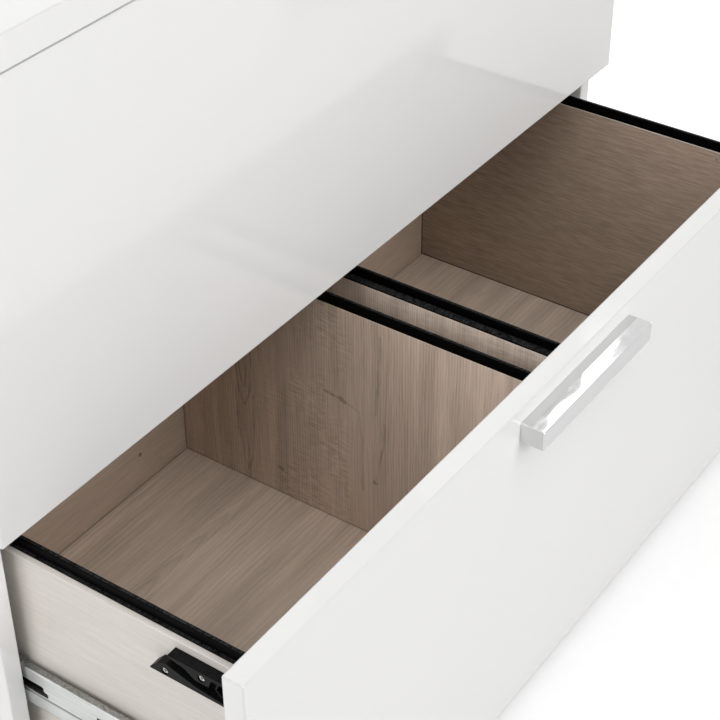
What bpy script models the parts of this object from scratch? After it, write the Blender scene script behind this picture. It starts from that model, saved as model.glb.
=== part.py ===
"""Two-drawer lateral filing cabinet for hanging folders, with its lower drawer drawn partly out.

Metres, +Z up. X runs along the drawer fronts and the drawers open towards -Y. The origin is the
middle of the floor under the whole object as it stands, with the lower drawer drawn out.
"""
import math

import bmesh
import bpy
from mathutils import Matrix, Vector

# Overall case
WIDTH = 0.914
TOP_THICKNESS = 0.0254
SIDE_THICKNESS = 0.017
BOTTOM_THICKNESS = 0.016
BACK_THICKNESS = 0.006
BACK_INSET = 0.010
GROOVE_DEPTH = 0.007
GLIDE_HEIGHT = 0.010
CASE_EDGE = 0.0012

# Drawer fronts and the gaps round them
FRONT_HEIGHT = 0.3565
FRONT_THICKNESS = 0.019
FRONT_EDGE = 0.0014
FLOOR_CLEARANCE = 0.0095
GAP_BETWEEN_FRONTS = 0.0085
GAP_UNDER_TOP = 0.001
FRONT_STANDOFF = 0.0032
REST_OPENING = 0.220

# Drawer boxes
BOX_BOARD = 0.012
BOX_DROP = 0.030
BOX_RISE = 0.059
BOX_PAST_SLIDE = 0.019
REAR_CLEARANCE = 0.016
DIVIDER_THICKNESS = 0.012
DIVIDER_GAP = 0.0304
BOX_EDGE = 0.0006

# Hanging folder rails
RAIL_WIDTH = 0.0066
RAIL_HEIGHT = 0.011
RAIL_FIN = 0.0040
RAIL_FLANGE = 0.0015
RAIL_TONGUE = 0.0020
RAIL_TONGUE_DEPTH = 0.0060
RAIL_INSET = 0.0005
RAIL_CORNER = 0.0014

# Factory holes in the box boards
SPARE_HOLE_DEPTH = 0.008
BACK_HOLE_RADIUS = 0.0025
BACK_HOLE_OFFSET = 0.096
BACK_HOLE_RISE = 0.038
SIDE_HOLE_RADIUS = 0.0015
SIDE_HOLE_BACK = 0.050
SIDE_HOLE_DROP = 0.0090

# Telescopic slides
SLIDE_SPACE = 0.0127
SLIDE_LENGTH = 0.400
SLIDE_HEIGHT = 0.045
SLIDE_SHEET = 0.0012
SLIDE_BEND = 0.0012
SLIDE_PLAY = 0.0004
SLIDE_LIP = 0.0030
SLIDE_DROP = 0.132
SLIDE_SETBACK = 0.0035
OUTER_FLANGE_REACH = 0.0105
MIDDLE_SHORTER = 0.020
DRAWER_MEMBER_SETBACK = 0.003
INNER_WEB_HEIGHT = 0.0272
BEAD_DEPTH = 0.0010
BEAD_DROP = 0.005
BEAD_HALF_WIDTH = 0.0014

# Cut-outs in the middle members, measured back from their front ends
WINDOW_START = 0.083
WINDOW_LENGTH = 0.040
WINDOW_STEP = 0.0042
WINDOW_RISE = 0.008
WINDOW_HALF_TONGUE = 0.0026
ACCESS_START = 0.013
ACCESS_LENGTH = 0.018
ACCESS_FOOT = 0.0028
ACCESS_RISE = 0.0092
WINDOW_CORNER = 0.0014

# Release levers in the drawer members
LEVER_PIVOT = 0.246
LEVER_REACH = 0.048
LEVER_HALF_HEIGHT = 0.0040
LEVER_TAB_RISE = 0.0078
LEVER_TAB_LENGTH = 0.024
LEVER_TONGUE = 0.0050
LEVER_DEPTH = 0.0050
LEVER_CORNER = 0.0008
LEVER_PIN_RADIUS = 0.0016
RIVET_HEAD_RADIUS = 0.0029
RIVET_HEAD_DEPTH = 0.0008

# Interlock striker on the left side of each drawer box. Backs are measured from its front end,
# insets from its rear tip, drops from its top edge and rises from its bottom edge.
STRIKER_LENGTH = 0.0858
STRIKER_HEIGHT = 0.0230
STRIKER_DEPTH = 0.0095
STRIKER_PLATE = 0.0022
STRIKER_DROP = 0.0070
STRIKER_CORNER = 0.0006
WEDGE_LENGTH = 0.0670
WEDGE_STRIP = 0.0030
WEDGE_MOUTH_DROP = 0.0017
WEDGE_KNEE_BACK = 0.0510
WEDGE_KNEE_DROP = 0.0050
ARM_START = 0.0300
ARM_END = 0.0424
ARM_DROP = 0.0109
SHOULDER_INSET = 0.0080
SHOULDER_RISE = 0.0089
CREST_INSET = 0.0164
CREST_RISE = 0.0125
SILL_RISE = 0.0052
TROUGH_BACK = 0.0120
TROUGH_RISE = 0.0020
TOE_RISE = 0.0080
CLIP_ROOT_BACK = 0.0270
CLIP_BEND_BACK = 0.0215
CLIP_BEND_DROP = 0.0030
CLIP_NOSE_BACK = 0.0245
CLIP_NOSE_DROP = 0.0110
CLIP_END_BACK = 0.0200
CLIP_END_DROP = 0.0160
CLIP_THICKNESS = 0.0012
CLIP_DEPTH = 0.0080
ARM_SCREW_DROP = 0.0062
WING_SCREW_INSET = 0.0150
WING_SCREW_RISE = 0.0042

# Bar handle
HANDLE_LENGTH = 0.186
HANDLE_HEIGHT = 0.0192
HANDLE_PROJECTION = 0.0226
HANDLE_DROP = 0.0152
HANDLE_WALL = 0.0030
HANDLE_EDGE = 0.0011
HANDLE_SCREW_INSET = 0.029
HANDLE_BOSS_RADIUS = 0.0048
HANDLE_BOSS_LENGTH = 0.0110

# Screws: radius and depth of the head, radius of the shank
MACHINE_SCREW = (0.0042, 0.0024, 0.0020)
STRIKER_SCREW = (0.0030, 0.0018, 0.0014)
STRIKER_SCREW_SINK = 0.0008
STRIKER_SCREW_BITE = 0.008
SLIDE_SCREW = (0.0037, 0.0020, 0.0019)
SLIDE_SCREW_BITE = 0.009
SLIDE_SCREW_INSET = 0.028
SLIDE_SCREW_MIDDLE = 0.160
DRIVE_RADIUS = 0.0016
DRIVE_DEPTH = 0.0010

# Glides under the case
GLIDE_RADIUS = 0.016
GLIDE_DISC = 0.006
GLIDE_STEM_RADIUS = 0.004
GLIDE_STEM_BITE = 0.012
GLIDE_INSET = 0.045

# Clearances and facet counts
FIT = 0.0003
RUNNING_FIT = 0.0001
SCREW_SIDES = 10
GLIDE_SIDES = 20
DRIVE_SIDES = 6
SCREW_DOME = 0.72
BEND_STEPS = 3
PAST = 0.002

# Sizes that follow from the driving ones
LOWER_FRONT_Z = FLOOR_CLEARANCE
UPPER_FRONT_Z = LOWER_FRONT_Z + FRONT_HEIGHT + GAP_BETWEEN_FRONTS
TOP_Z = UPPER_FRONT_Z + FRONT_HEIGHT + GAP_UNDER_TOP
BOX_LENGTH = SLIDE_LENGTH + BOX_PAST_SLIDE
DEPTH = FRONT_THICKNESS + BOX_LENGTH + REAR_CLEARANCE + BACK_THICKNESS + BACK_INSET
CASE_FRONT_Y = FRONT_THICKNESS + FRONT_STANDOFF
BACK_Y = DEPTH - BACK_INSET - BACK_THICKNESS
INNER_HALF = WIDTH / 2 - SIDE_THICKNESS
BOX_HALF = INNER_HALF - SLIDE_SPACE
BAY_HALF = BOX_HALF - BOX_BOARD
BOX_TOP = FRONT_HEIGHT - BOX_DROP
FLOOR_TOP = BOX_RISE + BOX_BOARD
BOX_FRONT_Y = FRONT_THICKNESS + FIT
BOX_BACK_Y = FRONT_THICKNESS + BOX_LENGTH
BAY_BACK_Y = BOX_BACK_Y - BOX_BOARD
SLIDE_Z = BOX_TOP - SLIDE_DROP
SLIDE_FRONT_Y = CASE_FRONT_Y + SLIDE_SETBACK
FACE_Y = (REST_OPENING + HANDLE_PROJECTION - DEPTH) / 2
MIDDLE_LENGTH = SLIDE_LENGTH - MIDDLE_SHORTER
SLIDE_STEP = SLIDE_SHEET + SLIDE_PLAY
DRAWER_MEMBER_Y = FRONT_THICKNESS + DRAWER_MEMBER_SETBACK
LEVER_WEB_U = SLIDE_SPACE - FIT - SLIDE_SHEET
LEVER_PIVOT_Y = DRAWER_MEMBER_Y + LEVER_PIVOT
SIDES = (("left", -1), ("right", 1))
ORIGIN = (0.0, 0.0, 0.0)
UP = (0.0, 0.0, 1.0)
OUTWARD = (0.0, -1.0, 0.0)
INWARD = (0.0, 1.0, 0.0)


def clear_scene():
    for item in list(bpy.data.objects):
        bpy.data.objects.remove(item, do_unlink=True)


def make_material(name, colour, roughness, metallic=0.0):
    material = bpy.data.materials.new(name)
    material.use_nodes = True
    shader = material.node_tree.nodes["Principled BSDF"]
    shader.inputs["Base Color"].default_value = (*colour, 1.0)
    shader.inputs["Roughness"].default_value = roughness
    shader.inputs["Metallic"].default_value = metallic
    return material


def frame(name, location):
    """An empty that carries one moving group, placed on its joint."""
    empty = bpy.data.objects.new(name, None)
    bpy.context.scene.collection.objects.link(empty)
    empty.location = location
    return empty


def finish_mesh(bm, name):
    bmesh.ops.recalc_face_normals(bm, faces=bm.faces)
    mesh = bpy.data.meshes.new(name)
    bm.to_mesh(mesh)
    bm.free()
    mesh.shade_smooth()
    mesh.set_sharp_from_angle(angle=math.radians(35))
    return mesh


def place(name, bm, material, parent, location=ORIGIN):
    mesh = finish_mesh(bm, name)
    mesh.materials.append(material)
    piece = bpy.data.objects.new(name, mesh)
    bpy.context.scene.collection.objects.link(piece)
    piece.parent = parent
    piece.location = location
    return piece


def carve(piece, bm, operation="DIFFERENCE"):
    """Cut what bm holds from a piece, or join it on, in the coordinates of the piece's parent."""
    tool = place("tool", bm, piece.data.materials[0], piece.parent)
    tool.hide_render = True
    tool.display_type = "WIRE"
    step = piece.modifiers.new("shape", "BOOLEAN")
    step.operation = operation
    step.object = tool
    bpy.context.view_layer.update()
    view = bpy.context.evaluated_depsgraph_get()
    shape = bpy.data.meshes.new_from_object(piece.evaluated_get(view))
    piece.modifiers.clear()
    piece.data = shape
    bpy.data.objects.remove(tool, do_unlink=True)


def add_box(bm, low, high):
    low, high = Vector(low), Vector(high)
    size = Matrix.Diagonal((*(high - low), 1.0))
    bmesh.ops.create_cube(bm, size=1.0, matrix=Matrix.Translation((low + high) / 2) @ size)


def board(name, low, high, material, parent, edge=BOX_EDGE):
    """A flat board between two corners, with eased edges."""
    low, high = Vector(low), Vector(high)
    middle = (low + high) / 2
    bm = bmesh.new()
    add_box(bm, low - middle, high - middle)
    piece = place(name, bm, material, parent, middle)
    ease = piece.modifiers.new("eased edges", "BEVEL")
    ease.width = edge
    ease.segments = 2
    return piece


def turned(profile, at, axis, sides=SCREW_SIDES):
    """A solid turned about an axis; the profile is pairs of distance along it and radius."""
    bm = bmesh.new()
    along = Vector(axis).normalized()
    across = along.orthogonal().normalized()
    up = along.cross(across)
    rings = []
    for distance, radius in profile:
        ring = []
        for step in range(sides):
            angle = math.tau * step / sides
            spoke = across * math.cos(angle) + up * math.sin(angle)
            ring.append(bm.verts.new(Vector(at) + along * distance + spoke * radius))
        rings.append(ring)
    for near, far in zip(rings, rings[1:]):
        for step in range(sides):
            after = (step + 1) % sides
            bm.faces.new((near[step], near[after], far[after], far[step]))
    bm.faces.new(rings[0])
    bm.faces.new(rings[-1])
    return bm


def add_prism(bm, outline, start, end, axes):
    """A closed outline extruded from start to end; axes says where its u, v and length go."""
    ends = []
    for station in (start, end):
        ring = []
        for u, v in outline:
            point = Vector((0.0, 0.0, 0.0))
            point[axes[0]] = u
            point[axes[1]] = v
            point[axes[2]] = station
            ring.append(bm.verts.new(point))
        ends.append(ring)
    count = len(outline)
    for step in range(count):
        after = (step + 1) % count
        bm.faces.new((ends[0][step], ends[0][after], ends[1][after], ends[1][step]))
    bm.faces.new(ends[0])
    bm.faces.new(ends[1])


def corner_arc(before, corner, after, radius, steps):
    """Points of the arc that rounds one corner of a path."""
    before, corner, after = Vector(before), Vector(corner), Vector(after)
    way_in = (corner - before).normalized()
    way_out = (after - corner).normalized()
    turn = math.atan2(way_in.x * way_out.y - way_in.y * way_out.x, way_in.dot(way_out))
    cut = radius * math.tan(abs(turn) / 2)
    start = corner - way_in * cut
    inward = Vector((-way_in.y, way_in.x)) * math.copysign(1.0, turn)
    centre = start + inward * radius
    spoke = start - centre
    points = []
    for step in range(steps + 1):
        swing = turn * step / steps
        cosine, sine = math.cos(swing), math.sin(swing)
        turned_spoke = Vector((spoke.x * cosine - spoke.y * sine, spoke.x * sine + spoke.y * cosine))
        points.append(centre + turned_spoke)
    return points


def rounded_loop(outline, radius, steps=BEND_STEPS):
    """A closed outline with every corner rounded."""
    points = []
    count = len(outline)
    for index in range(count):
        trio = (outline[index - 1], outline[index], outline[(index + 1) % count])
        points += corner_arc(*trio, radius, steps)
    return points


def rounded_path(path, radius, steps=BEND_STEPS):
    """An open path with its inner corners rounded."""
    points = [Vector(path[0])]
    for trio in zip(path, path[1:], path[2:]):
        points += corner_arc(*trio, radius, steps)
    points.append(Vector(path[-1]))
    return points


def sheet_outline(middle, thickness):
    """Outline of a strip of sheet that follows a path, half its thickness to each side."""
    sides = ([], [])
    for index, point in enumerate(middle):
        ways = []
        if index > 0:
            ways.append((point - middle[index - 1]).normalized())
        if index < len(middle) - 1:
            ways.append((middle[index + 1] - point).normalized())
        way = (ways[0] + ways[-1]).normalized()
        reach = thickness / 2 / way.dot(ways[0])
        normal = Vector((-way.y, way.x))
        sides[0].append(point + normal * reach)
        sides[1].append(point - normal * reach)
    return sides[0] + sides[1][::-1]


def screw(name, sizes, length, at, axis, pieces, material, parent, sunk):
    """A flat-ended screw from the top of its head, and its hole in the pieces that it joins."""
    head, depth, shank = sizes
    hole = ((0.0, shank + FIT), (length + FIT, shank + FIT))
    if sunk:
        hole = ((-PAST, head + FIT), (depth + FIT, head + FIT), (depth + FIT, shank + FIT),
                (length + FIT, shank + FIT))
    for piece in pieces:
        carve(piece, turned(hole, at, axis))
    profile = ((0.0, head * SCREW_DOME), (depth / 2, head), (depth, head), (depth, shank), (length, shank))
    place(name, turned(profile, ORIGIN, axis), material, parent, at)


def build_case(looks, parent):
    """The fixed case: top, sides, bottom, a back let into grooves, and four glides."""
    inner = INNER_HALF - FIT
    bottom_top = GLIDE_HEIGHT + BOTTOM_THICKNESS
    white = looks["white"]
    top = board("top_panel", (-WIDTH / 2, 0.0, TOP_Z), (WIDTH / 2, DEPTH, TOP_Z + TOP_THICKNESS),
                white, parent, CASE_EDGE)
    bottom = board("bottom_panel", (-inner, CASE_FRONT_Y, GLIDE_HEIGHT), (inner, DEPTH, bottom_top),
                   white, parent)
    sides = {}
    for name, side in SIDES:
        across = sorted((side * INNER_HALF, side * WIDTH / 2))
        sides[name] = board(name + "_side_panel", (across[0], CASE_FRONT_Y, GLIDE_HEIGHT),
                            (across[1], DEPTH, TOP_Z - FIT), white, parent, CASE_EDGE)
    reach = INNER_HALF + GROOVE_DEPTH
    low = Vector((-reach, BACK_Y, bottom_top - GROOVE_DEPTH))
    high = Vector((reach, BACK_Y + BACK_THICKNESS, TOP_Z + GROOVE_DEPTH))
    slack = Vector((FIT, FIT, FIT))
    for piece in (top, bottom, *sides.values()):
        bm = bmesh.new()
        add_box(bm, low - slack, high + slack)
        carve(piece, bm)
    board("back_panel", low, high, white, parent)

    foot = ((0.0, GLIDE_RADIUS - CASE_EDGE), (CASE_EDGE, GLIDE_RADIUS), (GLIDE_DISC, GLIDE_RADIUS),
            (GLIDE_DISC, GLIDE_STEM_RADIUS), (GLIDE_HEIGHT + GLIDE_STEM_BITE, GLIDE_STEM_RADIUS))
    hole = ((GLIDE_DISC, GLIDE_STEM_RADIUS + FIT),
            (GLIDE_HEIGHT + GLIDE_STEM_BITE + FIT, GLIDE_STEM_RADIUS + FIT))
    for row, y in (("front", CASE_FRONT_Y + GLIDE_INSET), ("rear", DEPTH - GLIDE_INSET)):
        for name, side in SIDES:
            at = (side * (INNER_HALF - GLIDE_INSET), y, 0.0)
            carve(bottom, turned(hole, at, UP))
            glide = turned(foot, ORIGIN, UP, GLIDE_SIDES)
            place(row + "_" + name + "_glide", glide, looks["black"], parent, at)
    return sides


def mirrored(path):
    """The rest of a section that is alike above and below its middle."""
    return path + [(u, -v) for u, v in path[::-1]]


def outer_section():
    """Section of the fixed slide member: distance from the case side, and height."""
    web = FIT + SLIDE_SHEET / 2
    flange = (SLIDE_HEIGHT - SLIDE_SHEET) / 2
    lip = OUTER_FLANGE_REACH - SLIDE_SHEET / 2
    path = mirrored([(lip, flange - SLIDE_LIP), (lip, flange), (web, flange)])
    return sheet_outline(rounded_path(path, SLIDE_BEND), SLIDE_SHEET)


def middle_section():
    """Section of the middle member, which runs inside the fixed one; its web has a bead."""
    web = FIT + SLIDE_SHEET / 2 + SLIDE_STEP
    flange = (SLIDE_HEIGHT - SLIDE_SHEET) / 2 - SLIDE_STEP
    lip = OUTER_FLANGE_REACH - SLIDE_SHEET / 2 - SLIDE_STEP
    upper = [(lip, flange - SLIDE_LIP), (lip, flange), (web, flange), (web, 0.0)]
    lower = [(u, -v) for u, v in upper[::-1]]
    bead = [Vector((web, -BEAD_DROP + BEAD_HALF_WIDTH)),
            Vector((web + BEAD_DEPTH, -BEAD_DROP)),
            Vector((web, -BEAD_DROP - BEAD_HALF_WIDTH))]
    path = rounded_path(upper, SLIDE_BEND)[:-1] + bead + rounded_path(lower, SLIDE_BEND)[1:]
    return sheet_outline(path, SLIDE_SHEET)


def inner_section():
    """Section of the drawer member, whose feet run behind the middle member's lips."""
    web = SLIDE_SPACE - FIT - SLIDE_SHEET / 2
    foot = OUTER_FLANGE_REACH - SLIDE_SHEET / 2 - 2 * SLIDE_STEP
    flange = (INNER_WEB_HEIGHT - SLIDE_SHEET) / 2
    reach = SLIDE_HEIGHT / 2 - 2 * SLIDE_STEP
    path = mirrored([(foot, reach), (foot, flange), (web, flange)])
    return sheet_outline(rounded_path(path, SLIDE_BEND), SLIDE_SHEET)


def slide_member(name, section, length, side, front_y, z, material, parent):
    """One rolled member of a slide; side is -1 on the left and 1 on the right."""
    outline = [(-side * u, v) for u, v in section]
    bm = bmesh.new()
    add_prism(bm, outline, 0.0, length, (0, 2, 1))
    return place(name, bm, material, parent, (side * INNER_HALF, front_y, z))


def fix_slide(member, side, web, flush, outward, carrier):
    """The three screws of a slide member, made as part of it, and their holes in what carries it.

    web is how far the web's open face stands from the case side, outward is 1 where the screws
    point to the case side and -1 where they point to the box, and flush heads are countersunk.
    """
    head, depth, shank = SLIDE_SCREW
    x, y, z = member.location
    axis = (side * outward, 0.0, 0.0)
    tip = SLIDE_SHEET + FIT + SLIDE_SCREW_BITE
    if flush:
        top = SLIDE_PLAY / 4
        profile = ((top, head), (depth, shank), (tip, shank))
        socket = ((0.0, head + FIT), (depth + FIT, shank + FIT), (tip + FIT, shank + FIT))
    else:
        top = -depth
        profile = ((top, head * SCREW_DOME), (top / 2, head), (SLIDE_SHEET / 2, head),
                   (SLIDE_SHEET / 2, shank), (tip, shank))
        socket = ((0.0, shank + FIT), (tip + FIT, shank + FIT))
    drive = ((top - PAST, DRIVE_RADIUS), (top + DRIVE_DEPTH, DRIVE_RADIUS))
    for station in (SLIDE_SCREW_INSET, SLIDE_SCREW_MIDDLE, SLIDE_LENGTH - SLIDE_SCREW_INSET):
        at = (x - side * web, y + station, z)
        carve(carrier, turned(socket, at, axis))
        carve(member, turned(profile, at, axis), "UNION")
        carve(member, turned(drive, at, axis, DRIVE_SIDES))


def build_fixed_slides(looks, parent, sides):
    """The four fixed members on the case sides."""
    for level, front_z in (("lower", LOWER_FRONT_Z), ("upper", UPPER_FRONT_Z)):
        for name, side in SIDES:
            member = slide_member(level + "_" + name + "_fixed_slide", outer_section(), SLIDE_LENGTH,
                                  side, SLIDE_FRONT_Y, front_z + SLIDE_Z, looks["zinc"], parent)
            fix_slide(member, side, FIT + SLIDE_SHEET, True, 1, sides[name])


def middle_windows(side):
    """Cutters for a middle member: the stepped lever window and the screw access slot."""
    back = WINDOW_START + WINDOW_LENGTH
    step = WINDOW_START + WINDOW_STEP
    window = [(WINDOW_START, -WINDOW_HALF_TONGUE), (back, -WINDOW_HALF_TONGUE), (back, WINDOW_RISE),
              (step, WINDOW_RISE), (step, WINDOW_HALF_TONGUE), (WINDOW_START, WINDOW_HALF_TONGUE)]
    end = ACCESS_START + ACCESS_LENGTH
    access = [(ACCESS_START, -ACCESS_FOOT), (end, -ACCESS_FOOT),
              (end, ACCESS_RISE), (ACCESS_START, ACCESS_RISE)]
    bm = bmesh.new()
    for outline in (window, access):
        softened = rounded_loop(outline, WINDOW_CORNER)
        add_prism(bm, softened, PAST, -SLIDE_SPACE / 2, (1, 2, 0))
    for vertex in bm.verts:
        vertex.co.x *= side
    bmesh.ops.translate(bm, verts=bm.verts, vec=(side * INNER_HALF, SLIDE_FRONT_Y, SLIDE_Z))
    return bm


def build_middle_slides(level, front_z, opening, looks):
    """The two middle members of one drawer, each on its own carrier at half the drawer's travel."""
    for name, side in SIDES:
        label = level + "_" + name + "_middle_slide"
        carrier = frame(label + "_travel", (0.0, FACE_Y - opening / 2, front_z))
        member = slide_member(label, middle_section(), MIDDLE_LENGTH, side, SLIDE_FRONT_Y, SLIDE_Z,
                              looks["zinc"], carrier)
        carve(member, middle_windows(side))


def build_lever(label, side, looks, drawer):
    """The black lever that frees a drawer from its slide, on a riveted pin of the drawer member."""
    pivot = frame(label + "_pivot", (side * (INNER_HALF - LEVER_WEB_U), LEVER_PIVOT_Y, SLIDE_Z))
    pivot.parent = drawer
    tab_start = -LEVER_REACH + LEVER_TONGUE
    tab_end = tab_start + LEVER_TAB_LENGTH
    outline = [(LEVER_HALF_HEIGHT, -LEVER_HALF_HEIGHT), (LEVER_HALF_HEIGHT, LEVER_HALF_HEIGHT),
               (tab_end + LEVER_HALF_HEIGHT, LEVER_HALF_HEIGHT), (tab_end, LEVER_TAB_RISE),
               (tab_start, LEVER_TAB_RISE), (tab_start, WINDOW_HALF_TONGUE),
               (-LEVER_REACH, WINDOW_HALF_TONGUE), (-LEVER_REACH, -WINDOW_HALF_TONGUE),
               (tab_end, -WINDOW_HALF_TONGUE), (tab_end + LEVER_HALF_HEIGHT, -LEVER_HALF_HEIGHT)]
    bm = bmesh.new()
    add_prism(bm, rounded_loop(outline, LEVER_CORNER), side * FIT, side * (FIT + LEVER_DEPTH), (1, 2, 0))
    lever = place(label, bm, looks["black"], pivot)
    radius = LEVER_PIN_RADIUS + RUNNING_FIT
    carve(lever, turned(((-PAST, radius), (LEVER_DEPTH + PAST, radius)), ORIGIN, (side, 0.0, 0.0)))


def add_lever_pin(member, side):
    """The riveted pin that stands on a drawer member's web."""
    head = LEVER_DEPTH + 2 * FIT
    profile = ((-SLIDE_SHEET / 2, LEVER_PIN_RADIUS), (head, LEVER_PIN_RADIUS),
               (head, RIVET_HEAD_RADIUS), (head + RIVET_HEAD_DEPTH, RIVET_HEAD_RADIUS))
    at = (side * (INNER_HALF - LEVER_WEB_U), LEVER_PIVOT_Y, SLIDE_Z)
    carve(member, turned(profile, at, (side, 0.0, 0.0)), "UNION")


def rail_section(outward, width):
    """Section of a folder rail from the inner face of its board: fin, flange and kerf tongue."""
    near, far = RAIL_INSET, RAIL_INSET + RAIL_FIN
    tongue = (near + far) / 2
    half = RAIL_TONGUE / 2
    outline = [Vector((near, FIT)),
               Vector((tongue - half, FIT)), Vector((tongue - half, -RAIL_TONGUE_DEPTH)),
               Vector((tongue + half, -RAIL_TONGUE_DEPTH)), Vector((tongue + half, FIT)),
               Vector((near + width, FIT)), Vector((near + width, FIT + RAIL_FLANGE)),
               Vector((far, FIT + RAIL_FLANGE))]
    for corner, before, after in (((far, RAIL_HEIGHT), (far, 0.0), (near, RAIL_HEIGHT)),
                                  ((near, RAIL_HEIGHT), (far, RAIL_HEIGHT), (near, 0.0))):
        outline += corner_arc(before, corner, after, RAIL_CORNER, BEND_STEPS)
    return [(outward * across, up) for across, up in outline]


def build_rail(name, carrier_board, face_x, outward, width, looks, parent):
    """One folder rail seated in the kerf of its board; outward points away from the folders."""
    end_y = BAY_BACK_Y - FIT
    bm = bmesh.new()
    add_prism(bm, rail_section(outward, width), 0.0, end_y - BOX_FRONT_Y, (0, 2, 1))
    place(name, bm, looks["black"], parent, (face_x, BOX_FRONT_Y, BOX_TOP))
    middle = face_x + outward * (RAIL_INSET + RAIL_FIN / 2)
    half = RAIL_TONGUE / 2 + FIT
    kerf = bmesh.new()
    add_box(kerf, (middle - half, 0.0, BOX_TOP - RAIL_TONGUE_DEPTH - FIT),
            (middle + half, BOX_BACK_Y + PAST, BOX_TOP + PAST))
    carve(carrier_board, kerf)


def build_box(level, looks, parent):
    """Drawer box: sides, back, floor, dividers and the folder rails on their top edges."""
    bay = BAY_HALF - FIT
    wood = looks["maple"]
    sides = {}
    for name, side in SIDES:
        across = sorted((side * BAY_HALF, side * BOX_HALF))
        sides[name] = board(level + "_" + name + "_box_side", (across[0], BOX_FRONT_Y, BOX_RISE),
                            (across[1], BOX_BACK_Y, BOX_TOP), wood, parent)
    board(level + "_box_floor", (-bay, BOX_FRONT_Y, BOX_RISE),
          (bay, BAY_BACK_Y - FIT, FLOOR_TOP), wood, parent)
    back = board(level + "_box_back", (-bay, BAY_BACK_Y, BOX_RISE), (bay, BOX_BACK_Y, BOX_TOP),
                 wood, parent)
    dividers = {}
    for name, side in SIDES:
        near = DIVIDER_GAP / 2
        across = sorted((side * near, side * (near + DIVIDER_THICKNESS)))
        dividers[name] = board(level + "_" + name + "_divider",
                               (across[0], BOX_FRONT_Y, FLOOR_TOP + FIT),
                               (across[1], BAY_BACK_Y - FIT, BOX_TOP), wood, parent)
    for name, side in SIDES:
        build_rail(level + "_" + name + "_side_rail", sides[name], side * BAY_HALF, side,
                   RAIL_WIDTH, looks, parent)
        face_x = side * (DIVIDER_GAP / 2 + DIVIDER_THICKNESS)
        build_rail(level + "_" + name + "_divider_rail", dividers[name], face_x, -side,
                   DIVIDER_THICKNESS - RAIL_INSET, looks, parent)

    for piece, radius, at, axis in (
            (back, BACK_HOLE_RADIUS, (-BACK_HOLE_OFFSET, BAY_BACK_Y, FLOOR_TOP + BACK_HOLE_RISE), INWARD),
            (sides["right"], SIDE_HOLE_RADIUS,
             (BAY_HALF, FRONT_THICKNESS + SIDE_HOLE_BACK, BOX_TOP - SIDE_HOLE_DROP), (1.0, 0.0, 0.0))):
        carve(piece, turned(((-PAST, radius), (SPARE_HOLE_DEPTH, radius)), at, axis))
    return sides


def striker_crest():
    return STRIKER_LENGTH - CREST_INSET, CREST_RISE - STRIKER_HEIGHT


def striker_block():
    """Outline of the whole striker: distance back, and height from its top edge."""
    return [(0.0, 0.0), (0.0, -STRIKER_HEIGHT), (STRIKER_LENGTH, -STRIKER_HEIGHT),
            (STRIKER_LENGTH - SHOULDER_INSET, SHOULDER_RISE - STRIKER_HEIGHT),
            striker_crest(), (WEDGE_LENGTH, 0.0)]


def striker_track():
    """Outline of the cam track, whose mouth is between the wedge and the crest of the wing."""
    crest_back, crest_height = striker_crest()
    slope = (CREST_RISE - SILL_RISE) / (crest_back - ARM_END)
    past_mouth = max(crest_back, WEDGE_LENGTH) + PAST
    return [(-PAST, -WEDGE_STRIP), (-PAST, TOE_RISE - STRIKER_HEIGHT), (0.0, TOE_RISE - STRIKER_HEIGHT),
            (TROUGH_BACK, TROUGH_RISE - STRIKER_HEIGHT), (ARM_END, SILL_RISE - STRIKER_HEIGHT),
            (past_mouth, crest_height + (past_mouth - crest_back) * slope),
            (past_mouth, -WEDGE_MOUTH_DROP), (WEDGE_LENGTH, -WEDGE_MOUTH_DROP),
            (WEDGE_KNEE_BACK, -WEDGE_KNEE_DROP), (ARM_END, -ARM_DROP), (ARM_START, -ARM_DROP),
            (ARM_START - WEDGE_STRIP, -WEDGE_STRIP)]


def striker_clip():
    """Outline of the springy finger in the track."""
    path = [(CLIP_ROOT_BACK, -WEDGE_STRIP / 2), (CLIP_BEND_BACK, -CLIP_BEND_DROP),
            (CLIP_NOSE_BACK, -CLIP_NOSE_DROP), (CLIP_END_BACK, -CLIP_END_DROP)]
    return sheet_outline(rounded_path(path, CLIP_THICKNESS), CLIP_THICKNESS)


def build_striker(level, looks, parent, side_board):
    """The interlock striker on the box's left side: a plate with a cam track open to the rear."""
    at = Vector((-BOX_HALF - FIT, BOX_FRONT_Y, BOX_TOP - STRIKER_DROP))
    bm = bmesh.new()
    add_prism(bm, rounded_loop(striker_block(), STRIKER_CORNER), 0.0, -STRIKER_DEPTH, (1, 2, 0))
    striker = place(level + "_interlock_striker", bm, looks["black"], parent, at)
    track = rounded_loop(striker_track(), STRIKER_CORNER)
    for outline, low, high, operation in (
            (track, -STRIKER_PLATE, -STRIKER_DEPTH - PAST, "DIFFERENCE"),
            (striker_clip(), -STRIKER_PLATE / 2, -CLIP_DEPTH, "UNION")):
        bm = bmesh.new()
        add_prism(bm, outline, low, high, (1, 2, 0))
        bmesh.ops.translate(bm, verts=bm.verts, vec=at)
        carve(striker, bm, operation)
    length = STRIKER_DEPTH - STRIKER_SCREW_SINK + STRIKER_SCREW_BITE
    wing_screw = (STRIKER_LENGTH - WING_SCREW_INSET, STRIKER_HEIGHT - WING_SCREW_RISE)
    for name, (back, down) in (("front", ((ARM_START + ARM_END) / 2, ARM_SCREW_DROP)),
                               ("rear", wing_screw)):
        start = at + Vector((STRIKER_SCREW_SINK - STRIKER_DEPTH, back, -down))
        screw(level + "_" + name + "_striker_screw", STRIKER_SCREW, length, start, (1.0, 0.0, 0.0),
              (striker, side_board), looks["bright_steel"], parent, sunk=True)


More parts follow.
